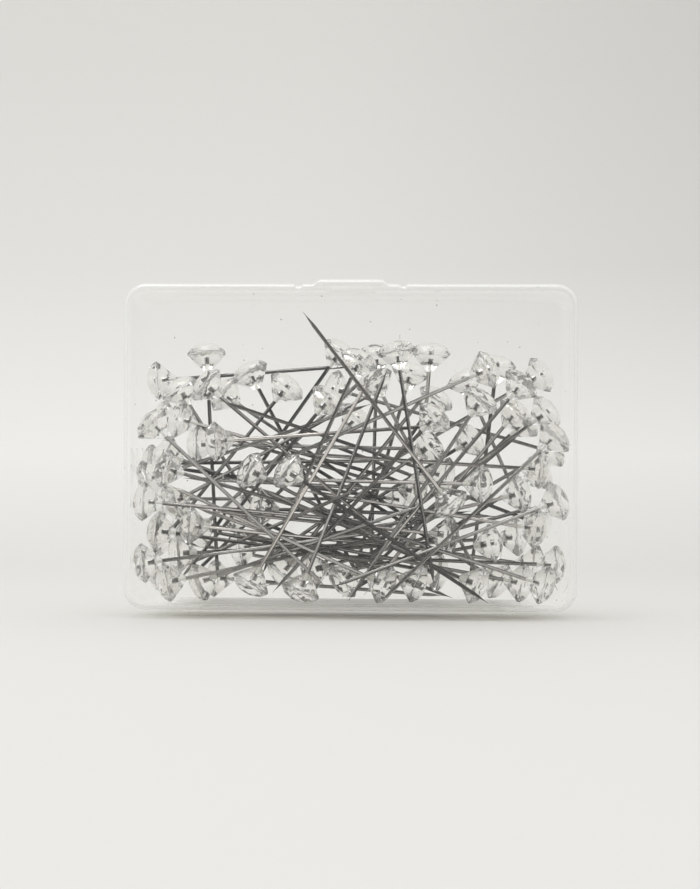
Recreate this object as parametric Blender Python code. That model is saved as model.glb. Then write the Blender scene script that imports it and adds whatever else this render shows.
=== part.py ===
"""Clear hinged case full of diamond head pins.

The case is two moulded trays, a base and a lid, that meet in the middle of the depth. It stands on
its hinge edge, with the lid to the front and the latch on top. Inside lies a heap of long steel pins,
each with a faceted clear head. Metres, +Z up, +Y away from the front, the origin on the ground under
the middle of the case.
"""
import math

import bmesh
import bpy
import numpy as np
from mathutils import Matrix, Vector

MM = 0.001

# Case
CASE_WIDTH = 90 * MM
CASE_HEIGHT = 65 * MM
CASE_DEPTH = 22 * MM
LID_DEPTH = 10.5 * MM
WALL = 1.2 * MM
DRAFT = 0.4 * MM
CORNER_RADIUS = 4.3 * MM
EDGE_RADIUS = 1.0 * MM
CLEARANCE = 0.3 * MM

# Hinge, two alike, moulded on the bottom edge
HINGE_DROP = 1.5 * MM
HINGE_OFFSET = 35 * MM
HINGE_WIDTH = 8.5 * MM
KNUCKLE_WIDTH = 3.9 * MM
BARREL_RADIUS = 1.0 * MM
PEG_RADIUS = 0.45 * MM
PEG_LENGTH = 1.2 * MM
PEG_GAP = 0.15 * MM
FOOT_DEPTH = 6.0 * MM
ROOT_DEPTH = 2.2 * MM

# Latch on the top edge
TAB_WIDTH = 12 * MM
TAB_SHOULDER = 1.6 * MM
TAB_RISE = 0.9 * MM
TAB_REACH = 3.5 * MM
TAB_SETBACK = 1.2 * MM
POCKET_WIDTH = 9 * MM
POCKET_DEPTH = 0.9 * MM
DETENT_RADIUS = 0.5 * MM
DETENT_RISE = 0.15 * MM
GROOVE_OFFSET = 10.3 * MM
GROOVE_WIDTH = 1.5 * MM
GROOVE_DEPTH = 0.4 * MM
GROOVE_STOP = 2.0 * MM

# Pin
PIN_LENGTH = 50 * MM
SHANK_RADIUS = 0.4 * MM
POINT_LENGTH = 4.0 * MM
POINT_RADIUS = 0.06 * MM
HEAD_RADIUS = 4.0 * MM
TABLE_RADIUS = 2.165 * MM
CROWN_HEIGHT = 2.0 * MM
GIRDLE_HEIGHT = 0.5 * MM
PAVILION_HEIGHT = 3.3 * MM
COLLAR_RADIUS = 0.85 * MM
SHANK_INSET = 1.25 * MM
BORE_GAP = 0.1 * MM
STAR_ANGLE = 28
UPPER_GIRDLE_ANGLE = 54
LOWER_GIRDLE_ANGLE = 49

# How the pins are shaken into a heap
SPARE = 0.15 * MM
SINK_STEP = 0.03 * MM
EASE = (0.5, 1.0, 0.5)
HASTE = 0.7
HOME_PULL = 0.01
ROUNDS = 900
STILL_ROUNDS = 300

# How the pins lie, from the back of the case to the front: the head's place across the case and up
# from its bottom, in hundredths of the room's half width and of its height, and where the point
# faces, in degrees from +X.
LAID_PINS = (
    (-92, 69, 8), (-90, 64, -19), (-90, 31, 2), (-90, 22, -12), (-65, 9, -6), (-2, 80, -128),
    (-7, 69, -15), (0, 62, -131), (16, 78, -94), (21, 75, -105), (39, 67, -122), (35, 82, -93),
    (53, 73, -67), (65, 78, -95), (90, 73, -150), (81, 59, -137), (88, 12, 172), (71, 9, 150),
    (-69, 82, -88), (-83, 69, -57), (-88, 48, -21), (90, 64, -142), (88, 43, -149), (88, 27, 160),
    (67, 18, -170), (-53, 17, 10), (-18, 9, 15), (-71, 22, 45), (37, 52, -145),
)
HEAD_TURN = 25

# Planes and axes that the pieces share
FRONT_Y = -CASE_DEPTH / 2
REAR_Y = CASE_DEPTH / 2
SEAM_Y = FRONT_Y + LID_DEPTH
BOTTOM_Z = HINGE_DROP
TOP_Z = HINGE_DROP + CASE_HEIGHT
AXIS_Z = BARREL_RADIUS
MIDDLE_Z = (BOTTOM_Z + TOP_Z) / 2
TABLE_HEIGHT = GIRDLE_HEIGHT / 2 + CROWN_HEIGHT
COLLAR_HEIGHT = GIRDLE_HEIGHT / 2 + PAVILION_HEIGHT
OVERCUT = 1.0 * MM

for old in list(bpy.data.objects):
    bpy.data.objects.remove(old, do_unlink=True)

parts = bpy.data.collections.new("diamond_head_pin_case")
cutters = bpy.data.collections.new("cutters")
for group in (parts, cutters):
    bpy.context.scene.collection.children.link(group)


def principled(name, colour, roughness, metallic, transmission):
    """A plain material in one colour."""
    material = bpy.data.materials.new(name)
    material.use_nodes = True
    shader = material.node_tree.nodes["Principled BSDF"]
    shader.inputs["Base Color"].default_value = (*colour, 1)
    shader.inputs["Roughness"].default_value = roughness
    shader.inputs["Metallic"].default_value = metallic
    shader.inputs["Transmission Weight"].default_value = transmission
    return material


CASE_PLASTIC = principled("clear_case_plastic", (0.93, 0.94, 0.93), 0.08, 0.0, 0.95)
HEAD_ACRYLIC = principled("clear_head_acrylic", (0.96, 0.96, 0.95), 0.02, 0.0, 1.0)
PIN_STEEL = principled("nickel_plated_steel", (0.62, 0.60, 0.57), 0.22, 1.0, 0.0)


def add_object(name, mesh, collection, material=None):
    """An object for a mesh, in a collection."""
    thing = bpy.data.objects.new(name, mesh)
    collection.objects.link(thing)
    if material:
        mesh.materials.append(material)
    if collection is cutters:
        thing.hide_render = True
        thing.display_type = "WIRE"
    return thing


def mesh_from(bm, name):
    """A plain mesh from a bmesh, with its faces pointing out."""
    bmesh.ops.recalc_face_normals(bm, faces=bm.faces)
    mesh = bpy.data.meshes.new(name)
    bm.to_mesh(mesh)
    bm.free()
    return mesh


def block(name, low, high):
    """A hidden box between two corners."""
    bm = bmesh.new()
    size = Vector(high) - Vector(low)
    middle = (Vector(high) + Vector(low)) / 2
    bmesh.ops.create_cube(bm, size=1, matrix=Matrix.Translation(middle) @ Matrix.Diagonal((*size, 1)))
    return add_object(name, mesh_from(bm, name), cutters)


def rod(name, radius, start, end, sides):
    """A hidden round bar between two points."""
    bm = bmesh.new()
    run = Vector(end) - Vector(start)
    turn = run.to_track_quat("Z", "Y").to_matrix().to_4x4()
    place = Matrix.Translation((Vector(start) + Vector(end)) / 2) @ turn
    bmesh.ops.create_cone(bm, cap_ends=True, segments=sides, radius1=radius, radius2=radius,
                          depth=run.length, matrix=place)
    return add_object(name, mesh_from(bm, name), cutters)


def prism(name, outline, low_x, high_x):
    """A hidden bar along X with an outline of (y, z) points."""
    bm = bmesh.new()
    face = bm.faces.new([bm.verts.new((low_x, y, z)) for y, z in outline])
    grown = bmesh.ops.extrude_face_region(bm, geom=[face])
    moved = [v for v in grown["geom"] if isinstance(v, bmesh.types.BMVert)]
    bmesh.ops.translate(bm, verts=moved, vec=(high_x - low_x, 0, 0))
    return add_object(name, mesh_from(bm, name), cutters)


def hinge_arc(radius, start, end):
    """Points on a circle about the hinge's axis, between two angles from +Y towards +Z in degrees."""
    steps = 8
    angles = [math.radians(start + (end - start) * step / steps) for step in range(steps + 1)]
    return [(SEAM_Y + radius * math.cos(angle), AXIS_Z + radius * math.sin(angle)) for angle in angles]


def combine(thing, other, operation):
    """Join another shape to an object or cut it away."""
    boolean = thing.modifiers.new(other.name, "BOOLEAN")
    boolean.operation = operation
    boolean.solver = "EXACT"
    boolean.object = other


def tray_block(name, inset, rim_y, panel_y, collection):
    """A rounded block from the rim to the panel that leans in by the draft. inset shrinks its sides."""
    bm = bmesh.new()
    bmesh.ops.create_cube(bm, size=1)
    half_width = CASE_WIDTH / 2 - inset
    half_height = CASE_HEIGHT / 2 - inset
    for vert in bm.verts:
        at_panel = vert.co.y > 0
        lean = DRAFT if at_panel else 0
        vert.co.x = math.copysign(half_width - lean, vert.co.x)
        vert.co.z = math.copysign(half_height - lean, vert.co.z) + MIDDLE_Z
        vert.co.y = panel_y if at_panel else rim_y
    bmesh.ops.recalc_face_normals(bm, faces=bm.faces)
    long_edges = [e for e in bm.edges if abs(e.verts[0].co.y - e.verts[1].co.y) > WALL]
    bmesh.ops.bevel(bm, geom=long_edges, offset=CORNER_RADIUS - inset, segments=5, profile=0.5,
                    affect="EDGES")
    panel_edges = [e for e in bm.edges if all(abs(v.co.y - panel_y) < WALL / 100 for v in e.verts)]
    bmesh.ops.bevel(bm, geom=panel_edges, offset=EDGE_RADIUS, segments=2, profile=0.5, affect="EDGES")
    return add_object(name, mesh_from(bm, name), collection)


def hollow_tray(name, rim_y, panel_y):
    """An open tray: a rounded block with a like block taken out of it."""
    inwards = math.copysign(1, panel_y - rim_y)
    tray = tray_block(name, 0, rim_y, panel_y, parts)
    tray.data.materials.append(CASE_PLASTIC)
    room = tray_block(name + "_room", WALL, rim_y - inwards * OVERCUT, panel_y - inwards * WALL, cutters)
    combine(tray, room, "DIFFERENCE")
    return tray


def cut_grooves(tray, name, rim_y, end_y, panel_y):
    """The two shallow channels along the top wall, beside the latch. They lean with the wall."""
    slope = DRAFT / (panel_y - rim_y)
    for side in (-1, 1):
        middle = side * GROOVE_OFFSET
        low = (middle - GROOVE_WIDTH / 2, min(rim_y, end_y), TOP_Z - GROOVE_DEPTH)
        high = (middle + GROOVE_WIDTH / 2, max(rim_y, end_y), TOP_Z + OVERCUT)
        channel = block(f"{name}_groove_{side}", low, high)
        for vert in channel.data.vertices:
            vert.co.z -= slope * (vert.co.y - rim_y)
            if abs(vert.co.y - rim_y) < SPARE:
                vert.co.y -= math.copysign(OVERCUT, panel_y - rim_y)
        combine(tray, channel, "DIFFERENCE")


def build_base():
    """The rear tray, with the hinge lugs that the case stands on and the latch's detent."""
    rim_y = SEAM_Y + CLEARANCE / 2
    base = hollow_tray("case_base", rim_y, REAR_Y)
    half = HINGE_WIDTH / 2
    slot = KNUCKLE_WIDTH / 2 + CLEARANCE
    reach = KNUCKLE_WIDTH / 2 + PEG_LENGTH + PEG_GAP
    foot_y = SEAM_Y + FOOT_DEPTH
    lug = hinge_arc(BARREL_RADIUS, 90, 270) + [(foot_y, 0), (foot_y, BOTTOM_Z + WALL / 2)]
    room = hinge_arc(BARREL_RADIUS + CLEARANCE, 0, 180)
    room += [(room[-1][0], -OVERCUT), (room[0][0], -OVERCUT)]
    for side in (-1, 1):
        middle = side * HINGE_OFFSET
        name = f"base_hinge_{side}"
        combine(base, prism(name + "_lug", lug, middle - half, middle + half), "UNION")
        combine(base, prism(name + "_room", room, middle - slot, middle + slot), "DIFFERENCE")
        bore = rod(name + "_bore", PEG_RADIUS + PEG_GAP, (middle - reach, SEAM_Y, AXIS_Z),
                   (middle + reach, SEAM_Y, AXIS_Z), 12)
        combine(base, bore, "DIFFERENCE")
    detent_y = SEAM_Y + TAB_REACH - 2 * DETENT_RADIUS
    detent_z = TOP_Z + DETENT_RISE - DETENT_RADIUS
    detent = rod("base_detent", DETENT_RADIUS, (-POCKET_WIDTH / 2, detent_y, detent_z),
                 (POCKET_WIDTH / 2, detent_y, detent_z), 12)
    combine(base, detent, "UNION")
    cut_grooves(base, "base", rim_y, REAR_Y - GROOVE_STOP, REAR_Y)
    return base


def latch_tab():
    """The raised tab on the lid's top edge, a tapered bar that reaches over the base."""
    bm = bmesh.new()
    bmesh.ops.create_cube(bm, size=1)
    for vert in bm.verts:
        top = vert.co.z > 0
        half = TAB_WIDTH / 2 + (0 if top else TAB_SHOULDER)
        vert.co.x = math.copysign(half, vert.co.x)
        vert.co.y = SEAM_Y + TAB_REACH if vert.co.y > 0 else FRONT_Y + TAB_SETBACK
        vert.co.z = TOP_Z + TAB_RISE if top else TOP_Z - WALL / 2
    return add_object("lid_tab", mesh_from(bm, "lid_tab"), cutters)


def build_lid():
    """The front tray, with the hinge knuckles and pegs and the latch tab. Its origin is on the hinge."""
    rim_y = SEAM_Y - CLEARANCE / 2
    lid = hollow_tray("case_lid", rim_y, FRONT_Y)
    half = KNUCKLE_WIDTH / 2
    reach = half + PEG_LENGTH
    swept = HINGE_WIDTH / 2 + CLEARANCE
    root_y = SEAM_Y - ROOT_DEPTH
    root_top = BOTTOM_Z + WALL / 2
    knuckle = hinge_arc(BARREL_RADIUS, 90, -180)
    knuckle += [(root_y, knuckle[-1][1] + CLEARANCE / 2), (root_y, root_top), (SEAM_Y, root_top)]
    for side in (-1, 1):
        middle = side * HINGE_OFFSET
        name = f"lid_hinge_{side}"
        sweep = rod(name + "_sweep", BARREL_RADIUS + CLEARANCE, (middle - swept, SEAM_Y, AXIS_Z),
                    (middle + swept, SEAM_Y, AXIS_Z), 16)
        combine(lid, sweep, "DIFFERENCE")
        combine(lid, prism(name + "_knuckle", knuckle, middle - half, middle + half), "UNION")
        pegs = rod(name + "_pegs", PEG_RADIUS, (middle - reach, SEAM_Y, AXIS_Z),
                   (middle + reach, SEAM_Y, AXIS_Z), 12)
        combine(lid, pegs, "UNION")
    combine(lid, latch_tab(), "UNION")
    over_base = block("lid_tab_room", (-TAB_WIDTH, SEAM_Y - CLEARANCE / 2, TOP_Z - WALL),
                      (TAB_WIDTH, SEAM_Y + TAB_REACH + OVERCUT, TOP_Z + CLEARANCE))
    combine(lid, over_base, "DIFFERENCE")
    pocket = block("lid_pocket", (-POCKET_WIDTH / 2, FRONT_Y + 2 * WALL, TOP_Z - 2 * WALL),
                   (POCKET_WIDTH / 2, SEAM_Y - WALL, TOP_Z - WALL + POCKET_DEPTH))
    combine(lid, pocket, "DIFFERENCE")
    cut_grooves(lid, "lid", rim_y, FRONT_Y - OVERCUT, FRONT_Y)
    pivot = Vector((0, SEAM_Y, AXIS_Z))
    lid.data.transform(Matrix.Translation(-pivot))
    lid.location = pivot
    return lid


def cut_facets(bm, angle, radius, height, azimuth, count):
    """Grind a ring of flat facets: each leans by angle and passes through radius at height."""
    lean = math.radians(angle)
    up = math.copysign(1, height)
    for step in range(count):
        turn = azimuth + step * math.tau / count
        normal = Vector((math.cos(turn) * math.sin(lean), math.sin(turn) * math.sin(lean),
                         up * math.cos(lean)))
        through = Vector((math.cos(turn) * radius, math.sin(turn) * radius, height))
        everything = bm.verts[:] + bm.edges[:] + bm.faces[:]
        cut = bmesh.ops.bisect_plane(bm, geom=everything, dist=SPARE / 1000, plane_co=through,
                                     plane_no=normal, clear_outer=True)
        edges = [e for e in cut["geom_cut"] if isinstance(e, bmesh.types.BMEdge)]
        if edges:
            bmesh.ops.edgeloop_fill(bm, edges=edges)


def head_blank(sides):
    """The uncut head, a prism with its girdle at the origin and its table up."""
    bm = bmesh.new()
    height = TABLE_HEIGHT + COLLAR_HEIGHT
    centre = Matrix.Translation((0, 0, (TABLE_HEIGHT - COLLAR_HEIGHT) / 2))
    bmesh.ops.create_cone(bm, cap_ends=True, segments=sides, radius1=HEAD_RADIUS, radius2=HEAD_RADIUS,
                          depth=height, matrix=centre)
    return bm


def main_angles():
    """The lean of the main facets of the crown and of the pavilion, in degrees."""
    crown = math.degrees(math.atan2(CROWN_HEIGHT, HEAD_RADIUS - TABLE_RADIUS))
    pavilion = math.degrees(math.atan2(PAVILION_HEIGHT, HEAD_RADIUS - COLLAR_RADIUS))
    return crown, pavilion


def brilliant_head():
    """A brilliant-cut head with a blind bore for the shank."""
    bm = head_blank(16)
    crown, pavilion = main_angles()
    girdle_top = GIRDLE_HEIGHT / 2
    flat_radius = HEAD_RADIUS * math.cos(math.pi / 16)
    star_radius = TABLE_RADIUS * math.cos(math.pi / 8)
    cut_facets(bm, UPPER_GIRDLE_ANGLE, flat_radius, girdle_top, math.pi / 16, 16)
    cut_facets(bm, crown, HEAD_RADIUS, girdle_top, 0, 8)
    cut_facets(bm, STAR_ANGLE, star_radius, TABLE_HEIGHT, math.pi / 8, 8)
    cut_facets(bm, LOWER_GIRDLE_ANGLE, flat_radius, -girdle_top, math.pi / 16, 16)
    cut_facets(bm, pavilion, HEAD_RADIUS, -girdle_top, 0, 8)
    blank = add_object("head_blank", mesh_from(bm, "head_blank"), cutters)
    bore = rod("head_bore", SHANK_RADIUS + BORE_GAP, (0, 0, -COLLAR_HEIGHT - OVERCUT),
               (0, 0, TABLE_HEIGHT - SHANK_INSET + BORE_GAP), 8)
    combine(blank, bore, "DIFFERENCE")
    return evaluated_mesh(blank, "pin_head")


def shank(top, sides):
    """The wire of a pin from a height in the head down to its ground point."""
    bm = bmesh.new()
    tip = TABLE_HEIGHT - PIN_LENGTH
    taper = tip + POINT_LENGTH
    bmesh.ops.create_cone(bm, cap_ends=True, segments=sides, radius1=SHANK_RADIUS, radius2=SHANK_RADIUS,
                          depth=top - taper, matrix=Matrix.Translation((0, 0, (top + taper) / 2)))
    end = [f for f in bm.faces if all(abs(v.co.z - taper) < SPARE for v in f.verts)]
    grown = bmesh.ops.extrude_face_region(bm, geom=end)
    ring = [v for v in grown["geom"] if isinstance(v, bmesh.types.BMVert)]
    bmesh.ops.delete(bm, geom=end, context="FACES_ONLY")
    for vert in ring:
        vert.co.x *= POINT_RADIUS / SHANK_RADIUS
        vert.co.y *= POINT_RADIUS / SHANK_RADIUS
        vert.co.z = tip
    return mesh_from(bm, "pin_shank")


def evaluated_mesh(thing, name):
    """The finished mesh of an object, after its modifiers."""
    bpy.context.view_layer.update()
    ready = thing.evaluated_get(bpy.context.evaluated_depsgraph_get())
    mesh = bpy.data.meshes.new_from_object(ready)
    mesh.name = name
    return mesh


def head_reach(slope):
    """How far a head reaches from its girdle. slope is the cosine between the way and its table."""
    across = np.sqrt(np.maximum(0, 1 - slope ** 2))
    corners = ((TABLE_RADIUS, TABLE_HEIGHT), (HEAD_RADIUS, GIRDLE_HEIGHT / 2),
               (HEAD_RADIUS, -GIRDLE_HEIGHT / 2), (COLLAR_RADIUS, -COLLAR_HEIGHT))
    return np.max([radius * across + height * slope for radius, height in corners], axis=0)


def dot(first, second):
    """The dot product of rows of vectors."""
    return np.einsum("ij,ij->i", first, second)


def near_points(ends, one, other, low):
    """Where two pins' shanks come nearest, as shares of each pin's length."""
    run_one = ends[one, 1] - ends[one, 0]
    run_other = ends[other, 1] - ends[other, 0]
    apart = ends[one, 0] - ends[other, 0]
    square = dot(run_one, run_one)
    mixed = dot(run_one, run_other)
    lead = dot(run_one, apart)
    trail = dot(run_other, apart)
    level = np.maximum(square ** 2 - mixed ** 2, square ** 2 * 1e-9)
    share = np.clip((mixed * trail - lead * square) / level, low, 1)
    other_share = np.clip((mixed * share + trail) / square, low, 1)
    share = np.clip((mixed * other_share - lead) / square, low, 1)
    return share, other_share


def points_at(ends, pins, shares):
    """Points on the axes of pins, at shares of their length."""
    return ends[pins, 0] + (ends[pins, 1] - ends[pins, 0]) * shares[:, None]


def push_apart(ends, move, one, share, other, other_share, reach):
    """Add up how pins give way where two of them come nearer than reach."""
    gap = points_at(ends, other, other_share) - points_at(ends, one, share)
    distance = np.maximum(np.linalg.norm(gap, axis=1), SPARE / 1000)
    normal = gap / distance[:, None]
    need = reach(normal) - distance
    near = need > 0
    one, share, other, other_share = one[near], share[near], other[near], other_share[near]
    eased = normal[near] * EASE
    weight = (1 - share) ** 2 + share ** 2 + (1 - other_share) ** 2 + other_share ** 2
    step = (need[near] / (weight * dot(eased, normal[near])))[:, None] * eased
    np.add.at(move, (one, 0), -step * (1 - share)[:, None])
    np.add.at(move, (one, 1), -step * share[:, None])
    np.add.at(move, (other, 0), step * (1 - other_share)[:, None])
    np.add.at(move, (other, 1), step * other_share[:, None])


def keep_inside(ends):
    """Move pins that stand through a wall back into the case."""
    length = PIN_LENGTH - TABLE_HEIGHT
    table_way = (ends[:, 0] - ends[:, 1]) / length
    lows = (-CASE_WIDTH / 2 + WALL + DRAFT, FRONT_Y + WALL, BOTTOM_Z + WALL + DRAFT)
    highs = (CASE_WIDTH / 2 - WALL - DRAFT, REAR_Y - WALL, TOP_Z - WALL - DRAFT)
    for axis, (low, high) in enumerate(zip(lows, highs)):
        slope = table_way[:, axis]
        ends[:, 0, axis] = np.clip(ends[:, 0, axis], low + CLEARANCE + head_reach(-slope),
                                   high - CLEARANCE - head_reach(slope))
        ends[:, 1, axis] = np.clip(ends[:, 1, axis], low + CLEARANCE + SHANK_RADIUS,
                                   high - CLEARANCE - SHANK_RADIUS)


def keep_length(ends):
    """Bring every pin back to its length about its middle."""
    middle = ends.mean(axis=1)
    run = ends[:, 1] - ends[:, 0]
    half = run / np.linalg.norm(run, axis=1)[:, None] * (PIN_LENGTH - TABLE_HEIGHT) / 2
    ends[:, 0] = middle - half
    ends[:, 1] = middle + half


def shake(ends, home):
    """Let the pins sink to the back of the case, and shake them until none runs through another."""
    count = len(ends)
    length = PIN_LENGTH - TABLE_HEIGHT
    low = COLLAR_HEIGHT / length
    one, other = np.triu_indices(count, 1)
    head, wire = np.nonzero(~np.eye(count, dtype=bool))
    at_head = np.zeros(len(head))
    table_way = np.zeros((count, 3))

    def shanks_reach(normal):
        return np.full(len(normal), 2 * SHANK_RADIUS + SPARE)

    def heads_reach(normal):
        first = head_reach(dot(normal, table_way[one]))
        return first + head_reach(-dot(normal, table_way[other])) + SPARE

    def head_and_shank_reach(normal):
        return head_reach(dot(normal, table_way[head])) + SHANK_RADIUS + SPARE

    for turn in range(ROUNDS + STILL_ROUNDS):
        table_way[:] = (ends[:, 0] - ends[:, 1]) / length
        move = np.zeros_like(ends)
        share, other_share = near_points(ends, one, other, low)
        push_apart(ends, move, one, share, other, other_share, shanks_reach)
        push_apart(ends, move, one, at_head[:len(one)], other, at_head[:len(one)], heads_reach)
        run = ends[wire, 1] - ends[wire, 0]
        along = np.clip(dot(ends[head, 0] - ends[wire, 0], run) / length ** 2, low, 1)
        push_apart(ends, move, head, at_head, wire, along, head_and_shank_reach)
        ends += move * HASTE
        if turn < ROUNDS:
            ends[:, :, 0::2] += (home - ends)[:, :, 0::2] * HOME_PULL
            ends[:, :, 1] += SINK_STEP
        keep_length(ends)
        keep_inside(ends)
    keep_length(ends)


def pin_matrix(head, tip, turn):
    """Where a pin's girdle stands and how the pin is turned."""
    upright = (Vector(head) - Vector(tip)).to_track_quat("Z", "Y").to_matrix().to_4x4()
    return Matrix.Translation(head) @ upright @ Matrix.Rotation(turn, 4, "Z")


def lay_pins():
    """Lay the pins one before the other in the room of the case, then shake them."""
    count = len(LAID_PINS)
    half_width = CASE_WIDTH / 2 - WALL - DRAFT
    floor = BOTTOM_Z + WALL + DRAFT
    height = CASE_HEIGHT - 2 * (WALL + DRAFT)
    depths = np.linspace(REAR_Y - WALL - HEAD_RADIUS, FRONT_Y + WALL + HEAD_RADIUS, count)
    ends = np.zeros((count, 2, 3))
    for number, (across, up, heading) in enumerate(LAID_PINS):
        way = math.radians(heading)
        ends[number, 0] = (across / 100 * half_width, depths[number], floor + up / 100 * height)
        run = np.array((math.cos(way), 0, math.sin(way))) * (PIN_LENGTH - TABLE_HEIGHT)
        ends[number, 1] = ends[number, 0] + run
    shake(ends, ends.copy())
    return [pin_matrix(*pin, math.radians(number * HEAD_TURN)) for number, pin in enumerate(ends)]


def build_pins():
    """The pins of the heap, each a head and the shank that is held in it."""
    head_mesh = brilliant_head()
    head_mesh.materials.clear()
    head_mesh.materials.append(HEAD_ACRYLIC)
    shank_mesh = shank(TABLE_HEIGHT - SHANK_INSET, 8)
    shank_mesh.materials.append(PIN_STEEL)
    for number, place in enumerate(lay_pins(), 1):
        head = add_object(f"pin_head_{number:02d}", head_mesh, parts)
        head.matrix_world = place
        wire = add_object(f"pin_shank_{number:02d}", shank_mesh, parts)
        wire.matrix_world = place


build_base()
build_lid()
build_pins()
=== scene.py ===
"""A clear hinged case that stands on its hinge edge, about three quarters full of diamond head pins.

The sections follow the case as it is put together: the two moulded trays, the pins that are shaken
into them, and the pale table it stands on. Metres, +Z up, -Y towards the camera.
"""
import math

import bmesh
import bpy
import numpy as np
from mathutils import Matrix, Vector


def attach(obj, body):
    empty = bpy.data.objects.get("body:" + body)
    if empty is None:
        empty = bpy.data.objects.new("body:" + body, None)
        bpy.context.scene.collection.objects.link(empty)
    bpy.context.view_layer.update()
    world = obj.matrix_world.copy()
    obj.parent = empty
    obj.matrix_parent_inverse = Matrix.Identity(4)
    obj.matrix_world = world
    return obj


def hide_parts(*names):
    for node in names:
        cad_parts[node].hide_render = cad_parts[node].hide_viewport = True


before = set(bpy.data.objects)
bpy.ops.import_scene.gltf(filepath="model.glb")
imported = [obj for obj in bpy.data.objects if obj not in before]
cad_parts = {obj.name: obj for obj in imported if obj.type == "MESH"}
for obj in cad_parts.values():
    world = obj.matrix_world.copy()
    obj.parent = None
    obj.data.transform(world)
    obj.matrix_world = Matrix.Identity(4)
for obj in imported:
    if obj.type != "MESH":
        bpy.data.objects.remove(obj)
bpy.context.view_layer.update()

# The case base is the rear tray, injection moulded in clear polystyrene. Its walls lean in a little
# so that it leaves the mould, and its lower edge carries the hinge lugs that the case stands on.
MM = 0.001
HALF_WIDTH = 45 * MM
HALF_HEIGHT = 32.5 * MM
BOTTOM_Z = 1.5 * MM
TOP_Z = BOTTOM_Z + 2 * HALF_HEIGHT
MIDDLE_Z = BOTTOM_Z + HALF_HEIGHT
FRONT_Y = -11 * MM
REAR_Y = 11 * MM
SEAM_Y = -0.5 * MM
AXIS_Z = 1.0 * MM
SEAM_GAP = 0.3 * MM
WALL = 1.2 * MM
DRAFT = 0.4 * MM
CORNER_RADIUS = 4.3 * MM
EDGE_RADIUS = 1.0 * MM
HINGE_OFFSET = 35 * MM
LUG_HALF = 4.25 * MM
KNUCKLE_HALF = 1.95 * MM
BARREL_RADIUS = 1.0 * MM
FOOT_DEPTH = 6.0 * MM
CHANNEL_OFFSET = 10.3 * MM
CHANNEL_HALF = 0.75 * MM
CHANNEL_DEPTH = 0.4 * MM
TOP_STEP_LIMIT = 13.5 * MM
RING_OFFSET = 36.7 * MM
RING_HEIGHT = 57.5 * MM
RING_RADIUS = 0.65 * MM
RING_RIDGE = 0.12 * MM


def smooth_step(value, start, end):
    """From 0 at start to 1 at end along a smooth curve."""
    share = min(1, max(0, (value - start) / (end - start)))
    return share * share * (3 - 2 * share)


def rounded_outline(half_width, half_height, radius):
    """Points (x, z) round a tray, close together where the latch and its channels are."""
    points = []
    corners = ((1, 1, 0), (-1, 1, 90), (-1, -1, 180), (1, -1, 270))
    for side, level, start in corners:
        for step in range(13):
            turn = math.radians(start + 90 * step / 12)
            points.append((side * (half_width - radius) + radius * math.cos(turn),
                           level * (half_height - radius) + radius * math.sin(turn)))
        if start == 0:
            points += [(x, half_height) for x in np.linspace(TOP_STEP_LIMIT, -TOP_STEP_LIMIT, 91)]
    return points


def tray_mesh(name, rim_y, panel_y, outer_rise, inner_rise):
    """An open tray as one closed skin, from the rim over the outside and back along the inside."""
    way = math.copysign(1, panel_y - rim_y)
    depth = abs(panel_y - rim_y)
    bm = bmesh.new()

    def ring(inset, back, rise, keep):
        lean = DRAFT * (1 - back / depth)
        outline = rounded_outline(HALF_WIDTH - inset - lean, HALF_HEIGHT - inset - lean,
                                  max(CORNER_RADIUS - inset, 1.2 * MM))
        y = panel_y - way * back
        verts = []
        for x, z in outline:
            on_top = z > HALF_HEIGHT - inset - lean - 0.01 * MM
            lift = keep * rise(x, y) if on_top else 0
            verts.append(bm.verts.new((x, y, MIDDLE_Z + z + lift)))
        return verts

    rings = []
    for step in range(13):
        rings.append(ring(0, depth + (EDGE_RADIUS - depth) * step / 12, outer_rise, 1))
    for step in range(1, 7):
        turn = math.radians(15 * step)
        rings.append(ring(EDGE_RADIUS * (1 - math.cos(turn)), EDGE_RADIUS * (1 - math.sin(turn)),
                          outer_rise, 1))
    rings.append(ring(EDGE_RADIUS + 0.6 * MM, 0, outer_rise, 0))
    panel = len(rings)
    inner_edge = 0.8 * MM
    rings.append(ring(WALL + inner_edge + 0.6 * MM, WALL, inner_rise, 0))
    for step in range(6, -1, -1):
        turn = math.radians(15 * step)
        rings.append(ring(WALL + inner_edge * (1 - math.cos(turn)),
                          WALL + inner_edge * (1 - math.sin(turn)), inner_rise, 1))
    for step in range(1, 13):
        back = WALL + inner_edge
        rings.append(ring(WALL, back + (depth - back) * step / 12, inner_rise, 1))
    count = len(rings[0])
    for number in range(len(rings)):
        if number + 1 == panel:
            bm.faces.new(rings[number])
            bm.faces.new(rings[panel])
            continue
        near = rings[number]
        far = rings[(number + 1) % len(rings)]
        for step in range(count):
            follow = (step + 1) % count
            bm.faces.new((near[step], near[follow], far[follow], far[step]))
    bmesh.ops.recalc_face_normals(bm, faces=bm.faces)
    mesh = bpy.data.meshes.new(name)
    bm.to_mesh(mesh)
    bm.free()
    return mesh


def new_object(name, mesh):
    """An object for a mesh, at the origin."""
    thing = bpy.data.objects.new(name, mesh)
    bpy.context.scene.collection.objects.link(thing)
    return thing


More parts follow.
